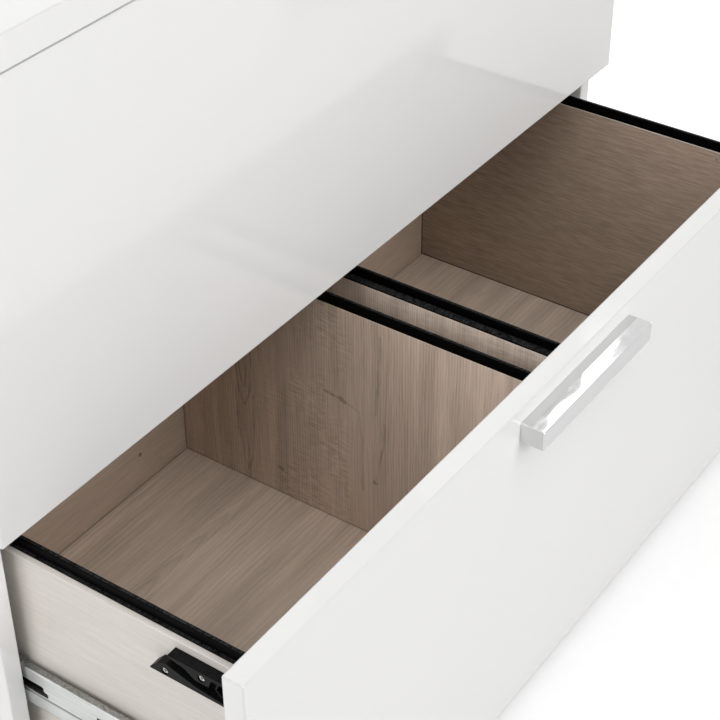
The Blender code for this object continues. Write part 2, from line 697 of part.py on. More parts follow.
def build_handle(level, looks, parent, front):
    """The hollow bar handle, open underneath for the fingers, and its two machine screws."""
    top = FRONT_HEIGHT - HANDLE_DROP
    bm = bmesh.new()
    add_box(bm, (-HANDLE_LENGTH / 2, -HANDLE_PROJECTION, -HANDLE_HEIGHT), (HANDLE_LENGTH / 2, -FIT, 0.0))
    outer = [edge for edge in bm.edges
             if min(vertex.co.y for vertex in edge.verts) < -HANDLE_PROJECTION / 2]
    bmesh.ops.bevel(bm, geom=outer, offset=HANDLE_EDGE, segments=3, profile=0.5, affect="EDGES")
    handle = place(level + "_handle", bm, looks["chrome"], parent, (0.0, 0.0, top))
    cavity = bmesh.new()
    add_box(cavity, (-HANDLE_LENGTH / 2 + HANDLE_WALL, -HANDLE_PROJECTION + HANDLE_WALL,
                     top - HANDLE_HEIGHT - PAST),
            (HANDLE_LENGTH / 2 - HANDLE_WALL, -HANDLE_WALL, top - HANDLE_WALL))
    carve(handle, cavity)
    screw_z = top - HANDLE_HEIGHT / 2
    length = MACHINE_SCREW[1] + FIT + FRONT_THICKNESS + HANDLE_BOSS_LENGTH - HANDLE_WALL
    start_y = MACHINE_SCREW[1] + FIT + FRONT_THICKNESS
    for name, side in SIDES:
        x = side * (HANDLE_LENGTH / 2 - HANDLE_SCREW_INSET)
        boss = ((HANDLE_WALL / 2, HANDLE_BOSS_RADIUS), (HANDLE_BOSS_LENGTH, HANDLE_BOSS_RADIUS))
        carve(handle, turned(boss, (x, 0.0, screw_z), OUTWARD), "UNION")
        screw(level + "_" + name + "_handle_screw", MACHINE_SCREW, length, (x, start_y, screw_z),
              OUTWARD, (handle, front), looks["bright_steel"], parent, sunk=False)


def build_drawer(level, front_z, opening, looks):
    """One whole drawer in its own frame, which lies on the closed front's lower edge."""
    drawer = frame(level + "_drawer_travel", (0.0, FACE_Y - opening, front_z))
    front = board(level + "_drawer_front", (-WIDTH / 2, 0.0, 0.0),
                  (WIDTH / 2, FRONT_THICKNESS, FRONT_HEIGHT), looks["white"], drawer, FRONT_EDGE)
    build_handle(level, looks, drawer, front)
    sides = build_box(level, looks, drawer)
    build_striker(level, looks, drawer, sides["left"])
    for name, side in SIDES:
        member = slide_member(level + "_" + name + "_drawer_slide", inner_section(), SLIDE_LENGTH,
                              side, DRAWER_MEMBER_Y, SLIDE_Z, looks["zinc"], drawer)
        fix_slide(member, side, LEVER_WEB_U, False, -1, sides[name])
        add_lever_pin(member, side)
        build_lever(level + "_" + name + "_release_lever", side, looks, drawer)
    build_middle_slides(level, front_z, opening, looks)


def main():
    clear_scene()
    looks = {
        "white": make_material("white_lacquer", (0.84, 0.84, 0.83), 0.12),
        "maple": make_material("maple_melamine", (0.40, 0.33, 0.28), 0.45),
        "black": make_material("black_plastic", (0.012, 0.012, 0.013), 0.40),
        "zinc": make_material("zinc_steel", (0.70, 0.71, 0.71), 0.35, 1.0),
        "chrome": make_material("polished_chrome", (0.86, 0.86, 0.87), 0.06, 1.0),
        "bright_steel": make_material("bright_steel", (0.72, 0.71, 0.69), 0.30, 1.0),
    }
    case = frame("case_frame", (0.0, FACE_Y, 0.0))
    sides = build_case(looks, case)
    build_fixed_slides(looks, case, sides)
    build_drawer("lower", LOWER_FRONT_Z, REST_OPENING, looks)
    build_drawer("upper", UPPER_FRONT_Z, 0.0, looks)


main()
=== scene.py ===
"""Lateral filing cabinet: finishes, floor, light and camera around the CAD frame."""
import math

import bmesh
import bpy
from mathutils import Matrix, Vector

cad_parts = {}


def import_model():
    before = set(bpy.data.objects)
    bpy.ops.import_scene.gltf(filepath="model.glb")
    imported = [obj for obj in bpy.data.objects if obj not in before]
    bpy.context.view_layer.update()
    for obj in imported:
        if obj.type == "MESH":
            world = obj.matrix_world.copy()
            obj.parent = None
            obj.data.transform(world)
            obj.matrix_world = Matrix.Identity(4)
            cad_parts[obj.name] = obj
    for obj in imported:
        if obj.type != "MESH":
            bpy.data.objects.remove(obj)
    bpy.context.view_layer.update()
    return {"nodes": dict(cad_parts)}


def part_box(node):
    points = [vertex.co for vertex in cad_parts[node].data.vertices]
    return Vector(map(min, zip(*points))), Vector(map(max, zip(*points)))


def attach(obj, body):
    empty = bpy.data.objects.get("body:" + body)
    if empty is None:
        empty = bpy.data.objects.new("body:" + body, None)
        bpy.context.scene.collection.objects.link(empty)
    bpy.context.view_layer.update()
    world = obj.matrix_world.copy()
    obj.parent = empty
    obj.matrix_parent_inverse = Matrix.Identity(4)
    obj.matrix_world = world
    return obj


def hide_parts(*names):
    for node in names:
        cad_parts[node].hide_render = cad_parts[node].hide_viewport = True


# Camera, fitted to the photograph's edges (metres, millimetres for lens and sensor).
CAMERA_PLACE = (-1.0800, -0.8719, 1.2534)
CAMERA_RIGHT = (0.57251, -0.81987, -0.00689)
CAMERA_UP = (0.49478, 0.33878, 0.80026)
CAMERA_BACK = (-0.65378, -0.46157, 0.59961)
LENS = 88.66
SENSOR = 36.0

# Lamps: name, place, aim, size and power. Studio softboxes, in metres and watts.
AIM = (0.0, -0.2, 0.3)
LAMPS = (
    ("left", (-3.6, 0.0, 1.6), AIM, (2.4, 2.4), 61.0),
    ("left_high", (-2.6, -0.8, 3.0), AIM, (2.4, 2.4), 35.0),
    ("overhead", (0.0, -2.0, 3.0), AIM, (2.4, 2.4), 49.0),
    ("front", (0.0, -3.6, 2.0), AIM, (3.0, 2.0), 64.0),
    ("rear", (2.6, 2.8, 2.0), AIM, (2.0, 2.0), 13.0),
    ("right", (3.6, 0.3, 0.8), AIM, (2.0, 1.1), 20.0),
    ("back", (-0.6, 3.8, 1.1), AIM, (2.4, 1.6), 14.0),
    ("rear_high", (2.565, 1.441, 3.106), AIM, (1.2, 0.87), 5.2),
)
WORLD_LIGHT = 0.10

# The floor: its colour, and how much it glows where it is looked at, by Y and by its distance.
FLOOR_HALF = 12.0
FLOOR_TONE = 205
FLOOR_GLOW = (0.32, 0.64)
FLOOR_GLOW_Y = (-0.30, 0.05)
FAR_GLOW = (0.0, 0.93)
FAR_GLOW_REACH = (1.7, 5.0)

# Axes of a grain: the index of the coordinate that runs along the fibres, and across them.
X, Y, Z = 0, 1, 2

LEVELS = ("lower", "upper")

# Wood tones as they read on screen. The box boards' paler tone outside and on their top edges is painted
# light.
PAINTED_LIGHT_WOOD = (209, 204, 197)
PAINTED_LIGHT_CONTRAST = 0.5
# Board by board these tones are partly the laminate's own and partly painted light and shade: the right
# divider paler, the box sides darker.
FLOOR_WOOD = (211, 195, 180)
SIDE_WOOD = (163, 145, 130)
BACK_WOOD = (188, 171, 155)
LEFT_WOOD = (196, 178, 163)
RIGHT_WOOD = (227, 212, 198)

# How far the grain falls under its tone, per channel, and rises over it; its value, which is 0
# at the dark tone and 1 at the pale one, is held between two limits.
GRAIN_DROP = (0.105, 0.115, 0.125)
GRAIN_RISE = 0.09
GRAIN_MIDDLE = 0.54
GRAIN_LIMITS = (-0.5, 1.3)

# What fibres, cross ripple and dark flecks add to that value, and where ripple and growth lines
# fade out in patches.
THREAD_GAIN = 1.2
RIPPLE_GAIN = 1.4
FLECK_DROP = 0.22
RIPPLE_PATCH = (0.38, 0.56, 0.0, 1.6)
LINE_PATCH = (0.36, 0.62, 0.30, 1.0)

# How far a face turns outwards or upwards where the box sides' painted light begins and is full.
PAINTED_LIGHT_TURN = (0.3, 0.6)

# Painted shade in the hairlines where boards meet: colour, strength, and the half widths of their core and
# their edge.
JOINT = (62, 50, 42)
JOINT_DEPTH = 0.85
JOINT_EDGE = (0.0005, 0.0016)

# Growth lines: distance from their centre where the arches' slope begins and ends, drift in
# lines, and where in each period the dark part begins, peaks and ends.
ARCH_REACH = (0.004, 0.034)
LINE_DRIFT = 2.6
LINE_START, LINE_PEAK, LINE_END = 0.35, 0.80, 0.99

# How much the scars waver sideways, and how dark they are in the grain's scale.
SCAR_WAVER = 0.004
SCAR_DEPTH = 1.5

# Lacquer: a flat face's largest normal part, from a rounded edge to a face, the gloss of the rounded edges
# and of the faces, and the painted shade of the rounded edges, a darker tone that cancels their highlight,
# and how much of that tone they take.
EDGE_TO_FACE = (0.97, 0.999)
EDGE_SHEEN = 0.12
FACE_SHEEN = 0.5
EDGE_SHADE_TONE = 214
EDGE_SHADE_SHARE = 0.9

# Black mouldings, linear colours.
RAIL_BLACK = (0.0012, 0.0012, 0.0014, 1.0)
MOULDING_BLACK = (0.0022, 0.0022, 0.0025, 1.0)

# Soil on zinc plate, and painted shade along the groove rolled into the middle slides: how far below their
# mid-height it lies, its half widths and how dark that shade is.
SOIL_AND_SHADE = (92, 88, 80)
LEDGE_SOIL = 0.75
GROOVE_DROP = 0.005
GROOVE_EDGE = (0.0008, 0.0016)
GROOVE_SHADE = 0.80

# Cross-recess screw head, as shares of its radius: slot's half width, arm, taper, depth; then
# (radius, depth) of its rings from the face inwards, the last at the shank's end.
SCREW_SLOT = 0.12
SCREW_ARM = 0.42
SCREW_TAPER = 0.55
SCREW_RECESS = 0.42
SCREW_PROFILE = ((0.80, 0.01), (0.93, 0.08), (1.0, 0.28), (1.0, 0.60), (0.4667, 0.60), (0.4667, None))

# Dark streaks of the left divider: points (y, z) of a broken line, width and depth of tone.
LEFT_SCARS = (
    (((-0.088, 0.2350), (-0.100, 0.2338), (-0.1125, 0.2310)), 0.0026, 0.60),
    (((-0.1125, 0.2310), (-0.128, 0.2260), (-0.131, 0.1800), (-0.131, 0.1330)), 0.0022, 0.30),
    (((-0.1506, 0.3222), (-0.1484, 0.2707), (-0.1442, 0.2310)), 0.0024, 0.34),
    (((-0.1550, 0.2240), (-0.1554, 0.2003), (-0.1454, 0.1490)), 0.0022, 0.34),
    (((-0.1060, 0.2334), (-0.1104, 0.2314)), 0.0042, 1.30),
    (((-0.0303, 0.1131), (-0.0333, 0.1127)), 0.0036, 1.10),
    (((-0.1442, 0.1490), (-0.1466, 0.1486)), 0.0036, 1.00),
    (((0.0230, 0.2800), (0.0200, 0.2250), (0.0168, 0.1900), (0.0102, 0.1740)), 0.0019, 0.46),
    (((0.0102, 0.1740), (0.0040, 0.1900), (0.0010, 0.2250), (-0.0010, 0.2800)), 0.0019, 0.46),
    (((0.0175, 0.2600), (0.0150, 0.2150), (0.0104, 0.1970), (0.0062, 0.2150), (0.0040, 0.2600)),
     0.0018, 0.50),
    (((0.0215, 0.1900), (0.0192, 0.1400), (0.0150, 0.1100), (0.0092, 0.0920)), 0.0019, 0.40),
    (((0.0092, 0.0920), (0.0036, 0.1100), (0.0004, 0.1400), (-0.0016, 0.1900)), 0.0019, 0.40),
)


class Graph:
    """A material's node tree, with short calls for the nodes that the finishes use."""

    def __init__(self, name):
        self.material = bpy.data.materials.new(name)
        self.material.use_nodes = True
        self.tree = self.material.node_tree
        self.shader = self.tree.nodes["Principled BSDF"]
        self.place = self.node("ShaderNodeTexCoord").outputs["Object"]

    def node(self, kind, **settings):
        made = self.tree.nodes.new(kind)
        for key, value in settings.items():
            setattr(made, key, value)
        return made

    def feed(self, socket, value):
        """Links an output to a socket, or writes a constant to it."""
        if isinstance(value, bpy.types.NodeSocket):
            self.tree.links.new(value, socket)
        else:
            socket.default_value = value

    def math(self, operation, *values, clamp=False):
        made = self.node("ShaderNodeMath", operation=operation, use_clamp=clamp)
        for socket, value in zip(made.inputs, values):
            self.feed(socket, value)
        return made.outputs[0]

    def split(self, vector):
        made = self.node("ShaderNodeSeparateXYZ")
        self.feed(made.inputs[0], vector)
        return made.outputs

    def facing(self, axis):
        """How far a surface faces along one axis of the object, -1 to 1."""
        return self.split(self.node("ShaderNodeNewGeometry").outputs["Normal"])[axis]

    def noise(self, sizes, shift=(0.0, 0.0, 0.0), detail=2.0, rough=0.5):
        """Noise whose features are as large as sizes, in metres, along each axis."""
        mapped = self.node("ShaderNodeMapping")
        self.feed(mapped.inputs["Vector"], self.place)
        mapped.inputs["Location"].default_value = shift
        mapped.inputs["Scale"].default_value = [1.0 / size for size in sizes]
        made = self.node("ShaderNodeTexNoise")
        self.feed(made.inputs["Vector"], mapped.outputs[0])
        made.inputs["Scale"].default_value = 1.0
        made.inputs["Detail"].default_value = detail
        made.inputs["Roughness"].default_value = rough
        return made.outputs["Fac"]

    def spread(self, value, low, high, to_low=0.0, to_high=1.0, smooth=False):
        """Maps low..high to to_low..to_high, held at both ends."""
        made = self.node("ShaderNodeMapRange")
        if smooth:
            made.interpolation_type = "SMOOTHSTEP"
        for key, number in zip(("Value", "From Min", "From Max", "To Min", "To Max"),
                               (value, low, high, to_low, to_high)):
            self.feed(made.inputs[key], number)
        return made.outputs[0]

    def blend(self, factor, first, second):
        """Mixes two colours; a factor outside 0 to 1 goes past them."""
        made = self.node("ShaderNodeMix", data_type="RGBA", clamp_factor=False)
        self.feed(made.inputs["Factor"], factor)
        self.feed(made.inputs["A"], first)
        self.feed(made.inputs["B"], second)
        return made.outputs["Result"]

    def bump(self, height, depth, strength=1.0):
        made = self.node("ShaderNodeBump")
        made.inputs["Strength"].default_value = strength
        made.inputs["Distance"].default_value = depth
        self.feed(made.inputs["Height"], height)
        self.feed(self.shader.inputs["Normal"], made.outputs[0])

    def set(self, **values):
        """Writes or links the shader's sockets, named with underscores for spaces."""
        for key, value in values.items():
            self.feed(self.shader.inputs[key.replace("_", " ")], value)
        return self.material


def colour(red, green, blue):
    """A linear colour from one read on screen, 0 to 255."""
    values = []
    for channel in (red, green, blue):
        level = channel / 255.0
        values.append(level / 12.92 if level <= 0.04045 else ((level + 0.055) / 1.055) ** 2.4)
    return (*values, 1.0)


def grey(level):
    return colour(level, level, level)


def stretched(along, long, short):
    """Three sizes, long on the grain's axis and short on the others."""
    sizes = [short, short, short]
    sizes[along] = long
    return sizes


def lacquer():
    """Smooth high-gloss white, with a trace of orange peel and of uneven tone, and a painted shade on its
    rounded edges.
    """
    graph = Graph("white_high_gloss")
    tone = graph.noise((0.16, 0.16, 0.16), detail=3.0)
    peel = graph.noise((0.0028, 0.0028, 0.0028), detail=1.0)
    film = graph.noise((0.05, 0.05, 0.05), shift=(4.0, 1.0, 7.0), detail=4.0)
    graph.bump(peel, 0.00002, 0.35)
    faces = graph.split(graph.node("ShaderNodeNewGeometry").outputs["True Normal"])
    flat = 0.0
    for face in faces:
        flat = graph.math("MAXIMUM", graph.math("ABSOLUTE", face), flat)
    white = graph.blend(tone, colour(228, 228, 226), colour(231, 230, 230))
    return graph.set(
        # Rounded edges take a darker tone: a painted shade that cancels their highlight.
        Base_Color=graph.blend(graph.spread(flat, *EDGE_TO_FACE, EDGE_SHADE_SHARE, 0.0), white, grey(EDGE_SHADE_TONE)),
        Roughness=graph.spread(film, 0.3, 0.7, 0.05, 0.09),
        Specular_IOR_Level=graph.spread(flat, *EDGE_TO_FACE, EDGE_SHEEN, FACE_SHEEN),
        IOR=1.52,
    )


def growth_lines(graph, side, along_place, spacing, slope, drift):
    """Thin dark lines of late wood; with a slope they close into long arches."""
    reach = graph.math("SQRT", graph.math("MULTIPLY_ADD", side, side, ARCH_REACH[0] ** 2))
    tilt = graph.spread(reach, *ARCH_REACH, slope, 0.0, smooth=True)
    phase = graph.math("MULTIPLY_ADD", along_place, tilt, reach)
    phase = graph.math("DIVIDE", phase, spacing)
    phase = graph.math("MULTIPLY_ADD", drift, LINE_DRIFT, phase)
    part = graph.math("FRACT", phase)
    rise = graph.spread(part, LINE_START, LINE_PEAK, smooth=True)
    fall = graph.spread(part, LINE_PEAK, LINE_END, 1.0, 0.0, smooth=True)
    return graph.math("MULTIPLY", rise, fall)


def near_line(graph, place, start, end, width):
    """1 on a line between two points (y, z), falling to 0 at a width from it."""
    run = [end[i] - start[i] for i in range(2)]
    length = math.hypot(*run)
    run = [part / length for part in run]
    offset = [graph.math("SUBTRACT", place[axis], start[i]) for i, axis in enumerate((Y, Z))]
    along = graph.math("MULTIPLY_ADD", offset[1], run[1], graph.math("MULTIPLY", offset[0], run[0]))
    held = graph.math("MAXIMUM", graph.math("MINIMUM", along, length), 0.0)
    squares = 0.0
    for i in range(2):
        rest = graph.math("MULTIPLY_ADD", held, -run[i], offset[i])
        squares = graph.math("MULTIPLY_ADD", rest, rest, squares)
    return graph.spread(graph.math("SQRT", squares), 0.0, width, 1.0, 0.0, smooth=True)


def scars_on(graph, place):
    """The left divider's knots and resin streaks, 0 to 1."""
    shake = graph.noise((0.05, 0.012, 0.022), (8.0, 2.0, 6.0), 1.0)
    centred = graph.math("SUBTRACT", place[Y], SCAR_WAVER / 2.0)
    wavy = (place[X], graph.math("MULTIPLY_ADD", shake, SCAR_WAVER, centred), place[Z])
    total = 0.0
    for points, width, depth in LEFT_SCARS:
        for start, end in zip(points, points[1:]):
            near = near_line(graph, wavy, start, end, width)
            total = graph.math("MAXIMUM", graph.math("MULTIPLY", near, depth), total)
    worn = graph.noise((0.02, 0.006, 0.02), (3.0, 7.0, 1.0), 2.0)
    return graph.math("MULTIPLY", total, graph.spread(worn, 0.35, 0.62, 0.45, 1.15))


def wood(name, along, across, shift, tone, fibre=(0.045, 0.0022), fine=1.0, lines=0.0,
         spacing=0.0024, slope=0.0, centre=0.0, waver=0.004, curl=0.0, curl_from=-1.0, curl_to=1.0,
         streak=0.35, scarred=False, joints=(), painted_light_outside=False):
    """Satin wood-grain laminate with its fibres along one axis and painted shade in dark hairlines at its
    joints.

    fibre is a fibre's length and width and fine its contrast. lines is the contrast of the growth
    lines, which lie at a spacing round a centre line, waver sideways and close in arches where
    they have a slope. curl is the contrast of the cross ripple, held between curl_from and
    curl_to, and streak that of the broad streaks.
    """
    graph = Graph(name)
    place = graph.split(graph.place)
    drift = graph.noise(stretched(along, 0.26, 0.07), shift, 2.0)
    shake = graph.noise(stretched(along, 0.034, 0.016), shift, 2.0)
    side = graph.math("MULTIPLY_ADD", shake, waver, graph.math("SUBTRACT", place[across], centre))
    line = growth_lines(graph, side, place[along], spacing, slope, drift)
    patch = graph.noise(stretched(along, 0.20, 0.05), shift, 1.0)
    line = graph.math("MULTIPLY", line, graph.spread(patch, *LINE_PATCH, smooth=True))
    broad = graph.noise(stretched(along, 0.20, 0.017), shift, 4.0)
    threads = graph.noise(stretched(along, *fibre), shift, 3.0, 0.6)
    fleck = graph.spread(graph.noise(stretched(along, 0.016, 0.0015), shift, 1.0), 0.58, 0.80)
    ripple = graph.noise(stretched(along, 0.0030, 0.013), shift, 2.0)
    ripple_patch = graph.noise(stretched(along, 0.10, 0.06), shift, 2.0)
    ripple = graph.math("MULTIPLY", graph.math("SUBTRACT", ripple, 0.5),
                        graph.spread(ripple_patch, *RIPPLE_PATCH, smooth=True))
    mask = graph.math("MULTIPLY", graph.spread(place[across], curl_from, curl_from + 0.02),
                      graph.spread(place[across], curl_to - 0.04, curl_to, 1.0, 0.3))
    ripple = graph.math("MULTIPLY", ripple, mask)
    value = graph.math("MULTIPLY_ADD", broad, 2.0 * streak, GRAIN_MIDDLE - streak)
    value = graph.math("MULTIPLY_ADD", graph.math("SUBTRACT", threads, 0.5), THREAD_GAIN * fine, value)
    value = graph.math("MULTIPLY_ADD", ripple, RIPPLE_GAIN * curl, value)
    value = graph.math("MULTIPLY_ADD", line, -lines, value)
    value = graph.math("MULTIPLY_ADD", fleck, -FLECK_DROP * fine, value)
    if scarred:
        value = graph.math("MULTIPLY_ADD", scars_on(graph, place), -SCAR_DEPTH, value)
    graph.bump(graph.math("MULTIPLY_ADD", fleck, -0.6, threads), 0.00006, 0.35)

    def grained(middle, contrast=1.0):
        dark = colour(*(channel * (1.0 - contrast * drop) for channel, drop in zip(middle, GRAIN_DROP)))
        pale = colour(*(min(channel * (1.0 + contrast * GRAIN_RISE), 250.0) for channel in middle))
        return graph.blend(graph.spread(value, *GRAIN_LIMITS, *GRAIN_LIMITS), dark, pale)

    look = grained(tone)
    depth = JOINT_DEPTH
    # Faces turned outwards or up take a paler copy of the wood: painted light.
    if painted_light_outside:
        outward = graph.math("MULTIPLY", graph.facing(X), graph.math("SIGN", place[X]))
        painted_light_turn = graph.math("MAXIMUM", outward, graph.facing(Z))
        look = graph.blend(graph.spread(painted_light_turn, *PAINTED_LIGHT_TURN), look, grained(PAINTED_LIGHT_WOOD, PAINTED_LIGHT_CONTRAST))
        depth = graph.spread(painted_light_turn, *PAINTED_LIGHT_TURN, JOINT_DEPTH, 0.0)
    # Dark hairlines at the joints: painted shade where boards meet.
    for axis, at in joints:
        gap = graph.math("ABSOLUTE", graph.math("SUBTRACT", place[axis], at))
        joint_shade = graph.math("MULTIPLY", graph.spread(gap, *JOINT_EDGE, 1.0, 0.0), depth)
        look = graph.blend(joint_shade, look, colour(*JOINT))
    return graph.set(
        Base_Color=look,
        Roughness=graph.spread(threads, 0.3, 0.7, 0.48, 0.38),
        IOR=1.48,
    )


def black_plastic(name, base, dust_share, sheen):
    """Satin black moulding with fine dust on what faces up."""
    graph = Graph(name)
    grain = graph.noise((0.0007, 0.0007, 0.0007), detail=2.0)
    dust = graph.noise((0.004, 0.0018, 0.0018), shift=(1.0, 5.0, 2.0), detail=4.0, rough=0.75)
    upward = graph.spread(graph.facing(Z), 0.75, 0.97)
    dusty = graph.math("MULTIPLY", graph.spread(dust, 0.40, 0.78), upward)
    graph.bump(grain, 0.00004, 0.3)
    return graph.set(
        Base_Color=graph.blend(graph.math("MULTIPLY", dusty, dust_share), base, grey(92)),
        Roughness=graph.math("MULTIPLY_ADD", dusty, 0.25, 0.42),
        Specular_IOR_Level=sheen,
    )


def zinc(grooves):
    """Rolled steel, zinc plated, drawn along Y, soiled on its ledges, with painted shade in grooves at
    given heights.
    """
    graph = Graph("zinc_plate")
    cloud = graph.noise((0.012, 0.05, 0.012), detail=3.0)
    drawn = graph.noise((0.0022, 0.07, 0.0022), detail=3.0, rough=0.65)
    soil = graph.noise((0.0022, 0.0032, 0.0022), shift=(3.0, 3.0, 3.0), detail=3.0, rough=0.7)
    ledge = graph.spread(graph.facing(Z), 0.7, 0.95)
    soiled = graph.math("MULTIPLY", graph.spread(soil, 0.38, 0.68, 0.35, 1.0), ledge)
    tone = graph.math("MULTIPLY_ADD", drawn, 1.1, graph.math("MULTIPLY_ADD", cloud, 0.5, -0.3), clamp=True)
    bright = graph.blend(tone, colour(164, 166, 164), colour(212, 214, 212))
    height = graph.split(graph.place)[Z]
    dark = graph.math("MULTIPLY", soiled, LEDGE_SOIL)
    # Groove lines darken the plate: painted shade, blended in the soil's colour.
    for groove in grooves:
        gap = graph.math("ABSOLUTE", graph.math("SUBTRACT", height, groove))
        dark = graph.math("MAXIMUM", graph.spread(gap, *GROOVE_EDGE, GROOVE_SHADE, 0.0), dark)
    graph.bump(drawn, 0.00005, 0.35)
    return graph.set(
        Base_Color=graph.blend(dark, bright, colour(*SOIL_AND_SHADE)),
        Roughness=graph.math("MULTIPLY_ADD", soiled, 0.25, graph.spread(cloud, 0.3, 0.7, 0.26, 0.38)),
        Metallic=1.0,
    )


def chrome():
    """Polished chrome, very slightly wavy, with a light haze of fingerprints."""
    graph = Graph("polished_chrome_plate")
    haze = graph.noise((0.02, 0.012, 0.012), detail=3.0)
    wave = graph.noise((0.060, 0.020, 0.020), shift=(2.0, 2.0, 2.0), detail=1.0)
    graph.bump(wave, 0.0004, 0.5)
    return graph.set(
        Base_Color=graph.blend(haze, grey(209), grey(217)),
        Roughness=graph.spread(haze, 0.35, 0.7, 0.03, 0.08),
        Metallic=1.0,
    )


def bright_steel():
    """Turned bright steel of screws and rivets."""
    graph = Graph("turned_bright_steel")
    turned = graph.noise((0.0006, 0.0006, 0.0006), detail=2.0)
    graph.bump(turned, 0.00002, 0.3)
    return graph.set(
        Base_Color=graph.blend(turned, colour(186, 184, 178), colour(222, 220, 216)),
        Roughness=graph.spread(turned, 0.3, 0.7, 0.22, 0.34),
        Metallic=1.0,
    )


def recess_shade_steel():
    """Dark steel inside a screw's recess, a painted shade of the hollow."""
    graph = Graph("recess_painted_shade_steel")
    stain = graph.noise((0.0005, 0.0005, 0.0005), detail=2.0)
    graph.bump(stain, 0.00002, 0.4)
    return graph.set(
        Base_Color=graph.blend(stain, grey(38), grey(74)),
        Roughness=graph.spread(stain, 0.3, 0.7, 0.45, 0.6),
        Metallic=0.6,
    )


def glide_plastic():
    """Grey-black plastic of the glides, a little scuffed."""
    graph = Graph("glide_plastic")
    scuff = graph.noise((0.004, 0.004, 0.002), detail=4.0)
    graph.bump(scuff, 0.00005, 0.4)
    return graph.set(
        Base_Color=graph.blend(scuff, grey(38), grey(62)),
        Roughness=graph.spread(scuff, 0.3, 0.7, 0.42, 0.6),
    )


def finish_for(name, finishes):
    """The finish of a CAD node, told from its name."""
    part = name.split("_", 1)[1] if name.startswith(LEVELS) else name
    if name in finishes:
        return finishes[name]
    if "screw" in part:
        return finishes["bright_steel"]
    if part == "handle":
        return finishes["chrome"]
    if "slide" in part:
        return finishes["zinc"]
    if "rail" in part:
        return finishes["rail"]
    if "striker" in part or "lever" in part:
        return finishes["moulding"]
    if "glide" in part:
        return finishes["glide"]
    return finishes["white"]


def box_boards(level):
    """The wood finishes of one drawer's box, each with painted shade in hairlines where its neighbours meet
    it.
    """
    floor = (Z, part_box(level + "_box_floor")[1][Z])
    back = (Y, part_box(level + "_box_back")[0][Y])
    boards = {
        "box_floor": wood(level + "_maple_floor", X, Y, (3.0, 1.0, 2.0), FLOOR_WOOD, fibre=(0.070, 0.0028),
                          fine=0.84, lines=0.28, spacing=0.0058, slope=0.16, centre=-0.004,
                          streak=0.76, waver=0.006, joints=(back,)),
        "box_back": wood(level + "_maple_back", X, Z, (7.0, 4.0, 1.0), BACK_WOOD, streak=0.30),
        "left_box_side": wood(level + "_maple_left_side", Y, Z, (2.0, 8.0, 5.0), SIDE_WOOD, streak=0.30,
                              joints=(floor,), painted_light_outside=True),
        "right_box_side": wood(level + "_maple_right_side", Y, Z, (6.0, 3.0, 9.0), SIDE_WOOD,
                               fibre=(0.026, 0.0018), fine=2.00, lines=0.25, spacing=0.0038,
                               waver=0.010, streak=0.20, joints=(floor, back), painted_light_outside=True),
        "left_divider": wood(level + "_maple_left_divider", Z, Y, (5.0, 2.0, 4.0), LEFT_WOOD,
                             fibre=(0.045, 0.0019), fine=1.12, lines=0.42, spacing=0.0030,
                             centre=0.0105, curl=1.00, curl_from=-0.125, curl_to=-0.005, streak=0.90,
                             waver=0.0030, scarred=level == "lower", joints=(floor, back)),
        "right_divider": wood(level + "_maple_right_divider", Z, Y, (1.0, 6.0, 8.0), RIGHT_WOOD,
                              fibre=(0.045, 0.0016), fine=1.1, lines=0.5, curl=0.5, streak=0.7),
    }
    return {level + "_" + part: finish for part, finish in boards.items()}


def dress(nodes):
    """Gives every CAD node its finish, and returns the finishes by name."""
    grooves = []
    for level in LEVELS:
        low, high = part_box(level + "_left_middle_slide")
        grooves.append((low.z + high.z) / 2.0 - GROOVE_DROP)
    finishes = {
        "white": lacquer(),
        "rail": black_plastic("satin_black_rail", RAIL_BLACK, 0.5, 0.03),
        "moulding": black_plastic("satin_black_moulding", MOULDING_BLACK, 0.10, 0.08),
        "zinc": zinc(grooves),
        "chrome": chrome(),
        "bright_steel": bright_steel(),
        "glide": glide_plastic(),
        "back_panel": wood("maple_back_panel", X, Z, (9.0, 9.0, 3.0), BACK_WOOD),
        **box_boards("lower"),
        **box_boards("upper"),
    }
    for name, node in nodes.items():
        finish = finish_for(name, finishes)
        for holder in node.material_slots:
            holder.material = finish
    return finishes


